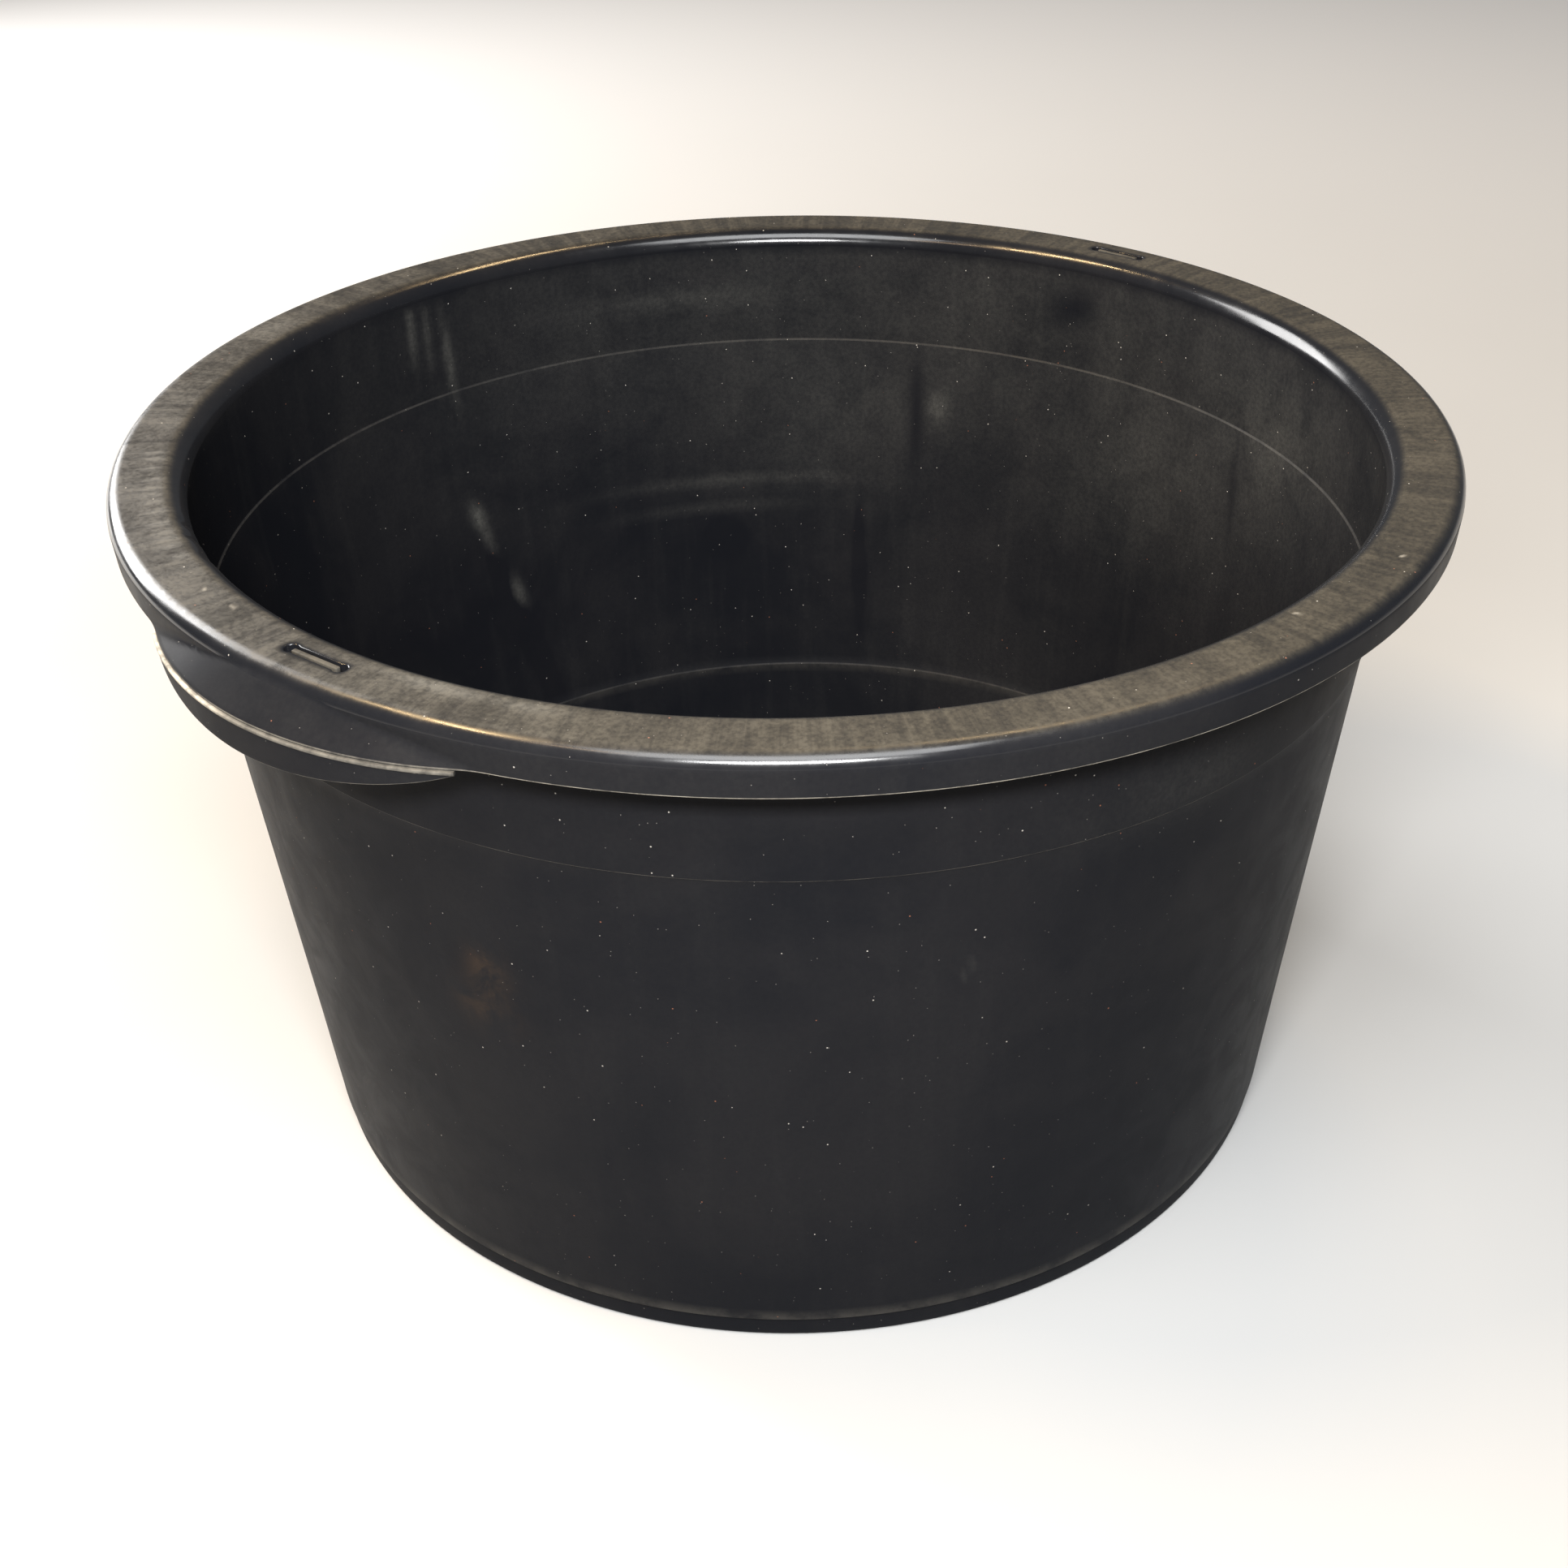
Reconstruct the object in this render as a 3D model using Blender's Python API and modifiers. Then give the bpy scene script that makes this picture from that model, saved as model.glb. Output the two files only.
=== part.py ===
"""Round mortar mixing tub, 90 litres: a moulded tub with two flared grip lobes on its rim skirt,
and a crescent grip insert clipped under each lobe.

Metres, +Z up. The origin is the centre of the base, and the grips lie on the X axis.
"""

import math

import bmesh
import bpy
from mathutils import Matrix

# ---- driving dimensions, metres ----
HEIGHT = 0.366
RIM_RADIUS = 0.325
BASE_RADIUS = 0.266

WALL = 0.0028
FLOOR = 0.0036
FLOOR_FILLET = 0.012
BASE_FILLET = 0.0025

# rim: flat flange with a rounded inner lip and outer shoulder, and a turned-down skirt
LIP_RADIUS = 0.2895
LIP_FILLET = 0.010
NECK_FILLET = 0.0065
FLANGE = 0.0032
SHOULDER_FILLET = 0.007
SKIRT_DROP = 0.0185
SKIRT = 0.0030
SKIRT_DRAFT = 0.0007

# the wall steps in once, a little below the rim
STEP_DROP_INSIDE = 0.0692
STEP_DROP_OUTSIDE = 0.0786
STEP_IN = 0.0009
STEP_RUN = 0.0004
UPPER_TAPER = 0.004

# the wall is thicker near the floor, and the foot is a little set in
THICK_ZONE = 0.074
THICK_EXTRA = 0.0008
FOOT_HEIGHT = 0.013
FOOT_IN = 0.0006

# grip lobe: a 45 degree flare under the shoulder, round about its own vertical axis
LOBE_AXIS = 0.165
LOBE_RADIUS = 0.174
LOBE_TOP_DROP = 0.0025
LOBE_SIDE_WALL = 0.0042
CHANNEL_CLEARANCE = 0.007
LOBE_HOLLOW_RUNOUT = 0.005

# slot in the flange over each grip, with round ends wider than its waist
SLOT_CENTRE = 0.3075
SLOT_HALF_LENGTH = 0.0172
SLOT_END_RADIUS = 0.0032
SLOT_HALF_WAIST = 0.0025
# each slot sits a little off its grip's middle, turned about the tub's axis
SLOT_TURN_LEFT = math.radians(1.7)
SLOT_TURN_RIGHT = math.radians(-0.5)

# grip insert
GAP = 0.0003
LEDGE_OUT = 0.0010
LEDGE = 0.0016
INSERT_HALF_WIDTH = 0.091
APRON_DEPTH = 0.0135
APRON_OUT = 0.0003
APRON = 0.0028
ARCH_POWER = 0.82
WEB = 0.0024
WEB_HALF_WIDTH = 0.075
WEB_INNER_RADIUS = 0.3005
TAB = 0.0024
TAB_HALF_WIDTH = 0.0130
TAB_SHOULDER_HALF_WIDTH = 0.0195
TAB_BELOW_RIM = 0.0002

# facets
TUB_STEPS = 72
LOBE_STEPS = 96
SMOOTH_ANGLE = math.radians(35)

SKIRT_BOTTOM = HEIGHT - SKIRT_DROP
FLANGE_UNDERSIDE = HEIGHT - FLANGE
LEDGE_TOP = SKIRT_BOTTOM - GAP
LEDGE_BOTTOM = LEDGE_TOP - LEDGE

PLASTIC_COLOUR = (0.028, 0.028, 0.030, 1.0)
PLASTIC_ROUGHNESS = 0.45


# ---- helpers ----
def clear_scene():
    for item in list(bpy.data.objects):
        bpy.data.objects.remove(item, do_unlink=True)


def new_collection(name):
    collection = bpy.data.collections.new(name)
    bpy.context.scene.collection.children.link(collection)
    return collection


def plastic(name):
    material = bpy.data.materials.new(name)
    material.use_nodes = True
    shader = material.node_tree.nodes["Principled BSDF"]
    shader.inputs["Base Color"].default_value = PLASTIC_COLOUR
    shader.inputs["Roughness"].default_value = PLASTIC_ROUGHNESS
    shader.inputs["Metallic"].default_value = 0.0
    return material


def arc(centre_r, centre_z, radius, start, end, segments):
    """Points of an arc in the profile plane, angles in degrees from +R towards +Z."""
    points = []
    for i in range(segments + 1):
        angle = math.radians(start + (end - start) * i / segments)
        points.append((centre_r + radius * math.cos(angle), centre_z + radius * math.sin(angle)))
    return points


def applied(item):
    """Replace an object's modifiers, or its curve, by the welded mesh that they make."""
    depsgraph = bpy.context.evaluated_depsgraph_get()
    mesh = bpy.data.meshes.new_from_object(item.evaluated_get(depsgraph))
    mesh.name = item.name
    if item.type == "CURVE":
        work = bmesh.new()
        work.from_mesh(mesh)
        bmesh.ops.remove_doubles(work, verts=work.verts, dist=1e-6)
        bmesh.ops.recalc_face_normals(work, faces=work.faces)
        work.to_mesh(mesh)
        work.free()
    name, matrix, collection = item.name, item.matrix_world.copy(), item.users_collection[0]
    bpy.data.objects.remove(item, do_unlink=True)
    result = bpy.data.objects.new(name, mesh)
    result.matrix_world = matrix
    collection.objects.link(result)
    return result


def turned(name, profile, axis_x, steps, collection, closed=False):
    """Turn a profile about the vertical axis at x = axis_x."""
    count = len(profile)
    edges = [(i, i + 1) for i in range(count - 1)]
    if closed:
        edges.append((count - 1, 0))
    mesh = bpy.data.meshes.new(name)
    mesh.from_pydata([(r, 0.0, z) for r, z in profile], edges, [])
    item = bpy.data.objects.new(name, mesh)
    item.location.x = axis_x
    collection.objects.link(item)
    screw = item.modifiers.new("turn", "SCREW")
    screw.steps = steps
    screw.render_steps = steps
    screw.merge_threshold = 0.00001
    screw.use_merge_vertices = True
    bpy.context.view_layer.update()
    return applied(item)


def prism(name, outline, thickness, collection):
    """Extrude a flat outline, drawn in the XY plane, equally to both sides of it."""
    curve = bpy.data.curves.new(name, "CURVE")
    curve.dimensions = "2D"
    curve.fill_mode = "BOTH"
    curve.extrude = thickness / 2
    spline = curve.splines.new("POLY")
    spline.points.add(len(outline) - 1)
    for point, (x, y) in zip(spline.points, outline):
        point.co = (x, y, 0.0, 1.0)
    spline.use_cyclic_u = True
    item = bpy.data.objects.new(name, curve)
    collection.objects.link(item)
    bpy.context.view_layer.update()
    return applied(item)


def stand_up(item, x):
    """Turn an outline drawn in XY to face +X at x: its X becomes Y and its Y becomes Z."""
    item.rotation_euler = (math.radians(90), 0.0, math.radians(90))
    item.location = (x, 0.0, 0.0)
    bpy.context.view_layer.update()


def box(name, low, high, collection):
    bpy.ops.mesh.primitive_cube_add(size=1.0)
    item = bpy.context.object
    item.name = name
    item.location = [(a + b) / 2 for a, b in zip(low, high)]
    item.scale = [b - a for a, b in zip(low, high)]
    for owner in list(item.users_collection):
        owner.objects.unlink(item)
    collection.objects.link(item)
    bpy.context.view_layer.update()
    item.data.transform(item.matrix_world)
    item.matrix_world.identity()
    return item


def combine(item, operation, *others):
    """Boolean one object with others, apply it, and remove the others."""
    for other in others:
        change = item.modifiers.new("combine", "BOOLEAN")
        change.operation = operation
        change.solver = "EXACT"
        change.object = other
    bpy.context.view_layer.update()
    result = applied(item)
    for other in others:
        bpy.data.objects.remove(other, do_unlink=True)
    return result


def finish(item, material):
    item.data.materials.clear()
    item.data.materials.append(material)
    item.data.shade_smooth()
    item.data.set_sharp_from_angle(angle=SMOOTH_ANGLE)


def disc(name, radius, low, high, axis_x, steps, collection):
    """A plain vertical cylinder between two heights."""
    profile = [(0.0, high), (radius, high), (radius, low), (0.0, low)]
    return turned(name, profile, axis_x, steps, collection)


# ---- the tub ----
def upper_inside(z):
    """Inner radius of the wall above its step."""
    return LIP_RADIUS - UPPER_TAPER * (HEIGHT - z)


def lower_outside(z):
    """Outer radius of the wall below its step."""
    step_z = HEIGHT - STEP_DROP_OUTSIDE
    step_radius = upper_inside(step_z) + WALL - STEP_IN
    return BASE_RADIUS + (step_radius - BASE_RADIUS) * z / step_z


def tub_profile():
    """Half section of the tub, from the axis at the floor, over the rim, to the axis at the base."""
    floor_edge = lower_outside(FLOOR) - WALL - THICK_EXTRA
    inner_step = HEIGHT - STEP_DROP_INSIDE
    outer_step = HEIGHT - STEP_DROP_OUTSIDE
    shoulder = RIM_RADIUS - SHOULDER_FILLET
    shoulder_z = HEIGHT - SHOULDER_FILLET
    skirt_foot = RIM_RADIUS - SKIRT_DRAFT
    lip = LIP_RADIUS + LIP_FILLET
    foot_radius = lower_outside(0.0) - FOOT_IN - BASE_FILLET
    inside = [(0.0, FLOOR)]
    inside += arc(floor_edge - FLOOR_FILLET, FLOOR + FLOOR_FILLET, FLOOR_FILLET, -90, -5, 4)
    inside += [
        (lower_outside(THICK_ZONE) - WALL - THICK_EXTRA, THICK_ZONE),
        (lower_outside(THICK_ZONE) - WALL, THICK_ZONE + STEP_RUN),
        (upper_inside(inner_step) - STEP_IN, inner_step - STEP_RUN),
        (upper_inside(inner_step), inner_step),
    ]
    rim = arc(lip, HEIGHT - LIP_FILLET, LIP_FILLET, 180, 90, 7)
    rim += arc(shoulder, shoulder_z, SHOULDER_FILLET, 90, 0, 6)
    rim += [(skirt_foot, SKIRT_BOTTOM), (skirt_foot - SKIRT, SKIRT_BOTTOM)]
    rim += arc(shoulder, shoulder_z, SHOULDER_FILLET - SKIRT, 0, 72, 2)
    rim.append((shoulder, FLANGE_UNDERSIDE))
    neck = upper_inside(FLANGE_UNDERSIDE) + WALL + NECK_FILLET
    outside = arc(neck, FLANGE_UNDERSIDE - NECK_FILLET, NECK_FILLET, 90, 180, 4)
    outside += [
        (upper_inside(outer_step) + WALL, outer_step),
        (lower_outside(outer_step), outer_step - STEP_RUN),
        (lower_outside(FOOT_HEIGHT), FOOT_HEIGHT),
        (lower_outside(FOOT_HEIGHT) - FOOT_IN, FOOT_HEIGHT - FOOT_IN),
    ]
    outside += arc(foot_radius, BASE_FILLET, BASE_FILLET, 0, -90, 3)
    outside.append((0.0, 0.0))
    return inside + rim + outside


def lobe_radius(z):
    """Radius of the flared lobe about its own axis at height z."""
    return LOBE_RADIUS + SKIRT_BOTTOM - z


def lobe_flare(side, cutters):
    """The lobe as a solid, kept outside the middle of the skirt."""
    top = HEIGHT - LOBE_TOP_DROP
    profile = [(0.0, top), (lobe_radius(top), top), (LOBE_RADIUS, SKIRT_BOTTOM), (0.0, SKIRT_BOTTOM)]
    flare = turned("lobe_flare", profile, side * LOBE_AXIS, LOBE_STEPS, cutters)
    core = disc("flare_core", RIM_RADIUS - SKIRT * 0.6, 0.3, HEIGHT + 0.01, 0.0, TUB_STEPS, cutters)
    return combine(flare, "DIFFERENCE", core)


def lobe_hollow(side, cutters):
    """The space inside the lobe, kept outside the tub's wall."""
    top = FLANGE_UNDERSIDE - 0.0001
    low = SKIRT_BOTTOM - LOBE_HOLLOW_RUNOUT
    profile = [
        (0.0, top),
        (lobe_radius(top) - LOBE_SIDE_WALL, top),
        (lobe_radius(low) - LOBE_SIDE_WALL, low),
        (0.0, low),
    ]
    hollow = turned("lobe_hollow", profile, side * LOBE_AXIS, LOBE_STEPS, cutters)
    core_radius = LIP_RADIUS + WALL + CHANNEL_CLEARANCE
    core = disc("hollow_core", core_radius, 0.3, HEIGHT + 0.01, 0.0, TUB_STEPS, cutters)
    return combine(hollow, "DIFFERENCE", core)


def slot_cutter(turn, cutters):
    """Dog-bone outline: two round ends joined by a narrower waist, at an angle about the tub's axis."""
    centre = SLOT_HALF_LENGTH - SLOT_END_RADIUS
    neck = math.degrees(math.asin(SLOT_HALF_WAIST / SLOT_END_RADIUS))
    far_end = arc(0.0, centre, SLOT_END_RADIUS, neck - 90, 270 - neck, 10)
    near_end = arc(0.0, -centre, SLOT_END_RADIUS, neck + 90, 450 - neck, 10)
    cutter = prism("slot_cutter", far_end + near_end, 0.012, cutters)
    place = Matrix.Translation((SLOT_CENTRE, 0.0, HEIGHT))
    cutter.matrix_world = Matrix.Rotation(turn, 4, "Z") @ place
    bpy.context.view_layer.update()
    return cutter


def build_tub(parts, cutters):
    tub = turned("tub_shell", tub_profile(), 0.0, TUB_STEPS, parts)
    tub = combine(tub, "UNION", *[lobe_flare(side, cutters) for side in (-1, 1)])
    tub = combine(tub, "DIFFERENCE", *[lobe_hollow(side, cutters) for side in (-1, 1)])
    slot_turns = (math.pi + SLOT_TURN_LEFT, SLOT_TURN_RIGHT)
    tub = combine(tub, "DIFFERENCE", *[slot_cutter(turn, cutters) for turn in slot_turns])
    finish(tub, plastic("tub_plastic"))
    return tub


# ---- the grip insert ----
def arch_prism(cutters):
    """Upright slab whose lower edge is the apron's arch."""
    outline = [(INSERT_HALF_WIDTH, SKIRT_BOTTOM + 0.01), (-INSERT_HALF_WIDTH, SKIRT_BOTTOM + 0.01)]
    segments = 24
    for i in range(segments + 1):
        across = -math.cos(math.pi * i / segments)
        drop = APRON_DEPTH * (1 - across * across) ** ARCH_POWER
        outline.append((across * INSERT_HALF_WIDTH, LEDGE_BOTTOM - drop))
    slab = prism("arch", outline, 0.14, cutters)
    stand_up(slab, RIM_RADIUS)
    return slab


def web_plate(parts):
    """Flat plate under the flange, from the apron in towards the wall."""
    outer = LOBE_RADIUS - APRON / 2
    outer_end = math.degrees(math.asin(WEB_HALF_WIDTH / outer))
    inner_end = math.degrees(math.asin(WEB_HALF_WIDTH / WEB_INNER_RADIUS))
    outline = arc(LOBE_AXIS, 0.0, outer, -outer_end, outer_end, 14)
    outline += arc(0.0, 0.0, WEB_INNER_RADIUS, inner_end, -inner_end, 10)
    plate = prism("web_plate", outline, WEB, parts)
    plate.location.z = LEDGE_TOP - WEB / 2
    bpy.context.view_layer.update()
    return plate


def build_insert(name, turn, slot_turn, parts, cutters):
    """One insert, made over +X and then turned about the tub's axis. Its tab follows the slot."""
    inner = LOBE_RADIUS + APRON_OUT - APRON
    low = LEDGE_BOTTOM - APRON_DEPTH - 0.005
    ring = [
        (inner, LEDGE_TOP),
        (LOBE_RADIUS + LEDGE_OUT, LEDGE_TOP),
        (LOBE_RADIUS + LEDGE_OUT, LEDGE_BOTTOM),
        (LOBE_RADIUS + APRON_OUT, LEDGE_BOTTOM),
        (LOBE_RADIUS + APRON_OUT, low),
        (inner, low),
    ]
    insert = turned(name, ring, LOBE_AXIS, LOBE_STEPS, parts, closed=True)
    insert = combine(insert, "INTERSECT", arch_prism(cutters))
    insert = combine(insert, "UNION", web_plate(parts))
    stop = box(
        "tab_stop",
        (SLOT_CENTRE - TAB / 2, -TAB_SHOULDER_HALF_WIDTH, LEDGE_TOP - WEB / 2),
        (SLOT_CENTRE + TAB / 2, TAB_SHOULDER_HALF_WIDTH, FLANGE_UNDERSIDE - GAP),
        parts,
    )
    tab = box(
        "tab",
        (SLOT_CENTRE - TAB / 2, -TAB_HALF_WIDTH, FLANGE_UNDERSIDE - FLANGE),
        (SLOT_CENTRE + TAB / 2, TAB_HALF_WIDTH, HEIGHT - TAB_BELOW_RIM),
        parts,
    )
    for piece in (stop, tab):
        piece.matrix_world = Matrix.Rotation(slot_turn, 4, "Z")
        bpy.context.view_layer.update()
        insert = combine(insert, "UNION", piece)
    insert.matrix_world = Matrix.Rotation(turn, 4, "Z") @ insert.matrix_world
    finish(insert, plastic("insert_plastic"))
    return insert


def main():
    clear_scene()
    parts = new_collection("mortar_mixing_tub")
    cutters = new_collection("cutters")
    build_tub(parts, cutters)
    build_insert("grip_insert_left", math.pi, SLOT_TURN_LEFT, parts, cutters)
    build_insert("grip_insert_right", 0.0, SLOT_TURN_RIGHT, parts, cutters)
    bpy.context.view_layer.update()


main()
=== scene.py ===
"""Looks of the mortar mixing tub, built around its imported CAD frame.

Metres, +Z up, origin at the centre of the base. The grips lie on the X axis.
"""

import math

import bmesh
import bpy
import numpy as np
from mathutils import Matrix, Vector


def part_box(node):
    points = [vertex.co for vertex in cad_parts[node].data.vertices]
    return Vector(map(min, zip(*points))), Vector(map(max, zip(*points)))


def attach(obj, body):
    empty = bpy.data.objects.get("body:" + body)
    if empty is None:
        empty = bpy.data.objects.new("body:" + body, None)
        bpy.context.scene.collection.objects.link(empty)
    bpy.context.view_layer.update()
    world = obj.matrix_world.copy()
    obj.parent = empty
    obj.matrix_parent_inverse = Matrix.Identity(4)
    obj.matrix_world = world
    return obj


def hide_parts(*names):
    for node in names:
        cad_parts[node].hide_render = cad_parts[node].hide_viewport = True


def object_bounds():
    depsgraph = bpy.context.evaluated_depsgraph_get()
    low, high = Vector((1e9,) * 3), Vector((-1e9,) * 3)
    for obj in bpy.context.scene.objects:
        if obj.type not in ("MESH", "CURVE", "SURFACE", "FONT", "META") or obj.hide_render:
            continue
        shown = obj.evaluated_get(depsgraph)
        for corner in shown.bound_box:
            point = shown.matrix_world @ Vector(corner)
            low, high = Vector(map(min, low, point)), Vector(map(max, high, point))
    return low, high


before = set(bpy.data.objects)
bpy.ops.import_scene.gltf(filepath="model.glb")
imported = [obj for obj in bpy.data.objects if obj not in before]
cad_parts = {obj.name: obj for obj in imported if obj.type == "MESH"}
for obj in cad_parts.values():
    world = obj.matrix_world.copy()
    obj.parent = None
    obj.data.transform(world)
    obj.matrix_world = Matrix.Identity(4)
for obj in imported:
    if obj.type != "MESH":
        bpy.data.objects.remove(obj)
CAD_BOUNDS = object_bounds()
ROOT = "root"

# ---- the tub's dimensions, as in the CAD, metres ----
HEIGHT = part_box("tub_shell")[1].z
RIM_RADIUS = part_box("tub_shell")[1].y
BASE_RADIUS = 0.266

WALL = 0.0028
FLOOR = 0.0036
FLOOR_FILLET = 0.012
BASE_FILLET = 0.0025

LIP_RADIUS = 0.2895
LIP_FILLET = 0.010
NECK_FILLET = 0.0065
FLANGE = 0.0032
SHOULDER_FILLET = 0.007
SKIRT_DROP = 0.0185
SKIRT = 0.0030
SKIRT_DRAFT = 0.0007

STEP_DROP_INSIDE = 0.0692
STEP_DROP_OUTSIDE = 0.0786
STEP_IN = 0.0009
UPPER_TAPER = 0.004

THICK_ZONE = 0.074
THICK_EXTRA = 0.0008
FOOT_HEIGHT = 0.013
FOOT_IN = 0.0006

LOBE_AXIS = 0.165
LOBE_RADIUS = 0.174
LOBE_TOP_DROP = 0.0025
LOBE_SIDE_WALL = 0.0042

SLOT_CENTRE = 0.3075
SLOT_HALF_LENGTH = 0.0172
SLOT_END_RADIUS = 0.0032
SLOT_HALF_WAIST = 0.0025
# each slot sits a little off its grip's middle, turned about the tub's axis
SLOT_TURN_LEFT = math.radians(1.7)
SLOT_TURN_RIGHT = math.radians(-0.5)

GAP = 0.0003
LEDGE_OUT = 0.0010
LEDGE = 0.0016
INSERT_HALF_WIDTH = 0.091
APRON_DEPTH = 0.0135
APRON_OUT = 0.0003
APRON = 0.0028
ARCH_POWER = 0.82
WEB = 0.0024
WEB_HALF_WIDTH = 0.075
WEB_INNER_RADIUS = 0.3005
TAB = 0.0024
TAB_HALF_WIDTH = 0.0130
TAB_SHOULDER_HALF_WIDTH = 0.0195
TAB_BELOW_RIM = 0.0002

SKIRT_BOTTOM = HEIGHT - SKIRT_DROP
FLANGE_UNDERSIDE = HEIGHT - FLANGE
LEDGE_TOP = SKIRT_BOTTOM - GAP
LEDGE_BOTTOM = LEDGE_TOP - LEDGE
INNER_STEP = HEIGHT - STEP_DROP_INSIDE
OUTER_STEP = HEIGHT - STEP_DROP_OUTSIDE

# ---- finer shape than the CAD's ----
COLUMNS = 900
SKIRT_EDGE = 0.0008
SKIRT_INNER_EDGE = 0.0005
STEP_EDGE = 0.0004
OUTER_STEP_FALL = 0.0003
LEDGE_RISE = 0.0007
SLOT_EDGE = 0.0005
# the flange is re-meshed this far beside and beyond each slot
PATCH_SIDE = 0.0021
PATCH_END = 0.0025
APRON_EDGE = 0.0006
# the apron hangs at least this far below the ledge, even at its ends
APRON_LEAST = 0.0002
WEB_EDGE = 0.0003
# keeps the web's top out of the ledge's plane, for a clean union
WEB_SINK = 0.00002
STOP_EDGE = 0.0004
TAB_EDGE = 0.0005
LOBE_BLEND = 0.0022
# a lobe reaches the rim only where the cosine of the angle from the X axis is above this
LOBE_COSINE = 0.8
# the skirt's inner face lies outside this radius
HOLLOW_FROM = 0.312
SMOOTH_ANGLE = math.radians(38)
BEVEL_ANGLE = math.radians(40)

# distance between the profile's rows: walls, flange, skirt face, hidden faces, floor, base
ROW_PITCH = 0.006
FLANGE_PITCH = 0.0016
SKIRT_PITCH = 0.0012
HIDDEN_PITCH = 0.003
FLOOR_PITCH = 0.008
BASE_PITCH = 0.012
# a straight stretch stops this far short of the rounding that follows it
ROW_CLEAR = 0.001
# the rows stop this far from the axis, and a fan of triangles closes the rest
AXIS_GAP = 0.004
TINY = 1e-6

# ---- unevenness of a big moulding ----
WAVE_DEPTH = 0.0005
# the waves fade in between these heights and out between these drops below the rim
WAVE_START, WAVE_FULL = 0.03, 0.08
WAVE_STOP, WAVE_EASE = 0.014, 0.04
FLOOR_DIP = 0.0006
FLOOR_DIP_REACH = 0.25
# knocks in the lip: angle round the tub in degrees, width in degrees, depth in metres
LIP_KNOCKS = [
    (151.5, 1.1, 0.0006),
    (154.6, 0.8, 0.0009),
    (158.8, 1.4, 0.0005),
]

# ---- dust, wear and painted highlights, with strengths from 0 to 1 ----
LEDGE_DUST = 0.02
FLOOR_DUST = 0.10
TAB_TOP_DUST = 0.8
# the pale lines on the skirt's edge, the outer step and the inner lines are rubbing and painted
# highlight
SKIRT_WEAR_AND_HIGHLIGHT = 0.80
SKIRT_WEAR_AND_HIGHLIGHT_UNDER_LOBE = 0.30
STEP_WEAR_AND_HIGHLIGHT = 0.24
INNER_LINE_WEAR_AND_HIGHLIGHT = 0.04
FOOT_WEAR = 0.09
# the apron's lower edge: rubbing and a painted highlight
INSERT_TIP_WEAR_AND_HIGHLIGHT = 0.3
TAB_TOP_WEAR = 0.12
# the insert's ledge carries this much rubbing and painted highlight, and this much more towards
# its end at -Y
INSERT_LEDGE_WEAR_AND_HIGHLIGHT = 0.35
INSERT_END_WEAR_AND_HIGHLIGHT = 1.05
LOBE_SPREAD = math.radians(17.5)
# how far below the rim the flange's top, with its fillets, still holds dust
FLANGE_TOP_DROP = 0.0035
# the flange's dust is full up to just past the shoulder's start and ends short of the rim
DUST_PAST_SHOULDER = 0.0004
DUST_SHORT_OF_RIM = 0.0014
# how far from its edge each rubbed or dusty line reaches
OUTER_LINE_REACH = 0.0002
LOW_LINE_REACH = 0.0005
LOW_LEDGE_REACH = 0.0009
APRON_TIP_REACH = 0.00055
TAB_TOP_REACH = 0.0016
# painted light and shade on the inner wall, put into its film: paler up the wall, most of all
# towards this heading, and darker on the far side
PAINTED_LIGHT_HEADING = math.radians(10)
PAINTED_LIGHT_FROM, PAINTED_LIGHT_TO = 0.15, 0.34
PAINTED_LIGHT_GAIN = 0.20
PAINTED_SHADE_LOSS = 0.14

# surface zones of the tub, in the order of its materials
INNER, RIM, OUTER, SKIRT_FACE = 0, 1, 2, 3

# ---- the camera ----
CAMERA_PLACE = Vector((-0.7330, -0.6004, 0.7519))
CAMERA_HEADING = math.radians(38.0)
CAMERA_TILT = math.radians(-33.33)
CAMERA_ROLL = math.radians(0.42)
CAMERA_LENS = 46.58
CAMERA_SENSOR = 36.0
CAMERA_SHIFT = (-0.0331, 0.0176)
# the side of the tub that faces the camera, in degrees; the lights are placed from it
FRONT = 218.0


# ---- small helpers ----
def arc(centre_r, centre_z, radius, start, end, segments):
    """Points of an arc in the profile plane, angles in degrees from +R towards +Z."""
    points = []
    for i in range(segments + 1):
        angle = math.radians(start + (end - start) * i / segments)
        points.append((centre_r + radius * math.cos(angle), centre_z + radius * math.sin(angle)))
    return points


def line(start, end, pitch):
    """Evenly spaced points from start towards end, without the end itself."""
    length = math.dist(start, end)
    count = max(1, round(length / pitch))
    points = []
    for i in range(count):
        t = i / count
        points.append((start[0] + (end[0] - start[0]) * t, start[1] + (end[1] - start[1]) * t))
    return points


def smooth_max(a, b, blend):
    """Maximum of two arrays with a soft change-over."""
    near = np.clip(1.0 - np.abs(a - b) / blend, 0.0, 1.0)
    return np.maximum(a, b) + near * near * blend / 4


def smooth_step(low, high, value):
    """Ease from 0 at low to 1 at high, which may be the smaller of the two."""
    t = np.clip((value - low) / (high - low), 0.0, 1.0)
    return t * t * (3 - 2 * t)


def new_object(name, vertices, faces):
    """A mesh object, linked to the scene."""
    mesh = bpy.data.meshes.new(name)
    mesh.from_pydata([tuple(v) for v in vertices], [], [tuple(f) for f in faces])
    mesh.update()
    item = bpy.data.objects.new(name, mesh)
    bpy.context.scene.collection.objects.link(item)
    return item


def add_mask(mesh, name, values):
    """Store one number per vertex, for the materials to read."""
    layer = mesh.attributes.new(name, "FLOAT", "POINT")
    layer.data.foreach_set("value", values.astype(np.float32))


def finish(item, node):
    """Shade a piece and put it on the tub in place of its CAD node."""
    item.data.shade_smooth()
    item.data.set_sharp_from_angle(angle=SMOOTH_ANGLE)
    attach(item, ROOT)
    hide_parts(node)


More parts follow.
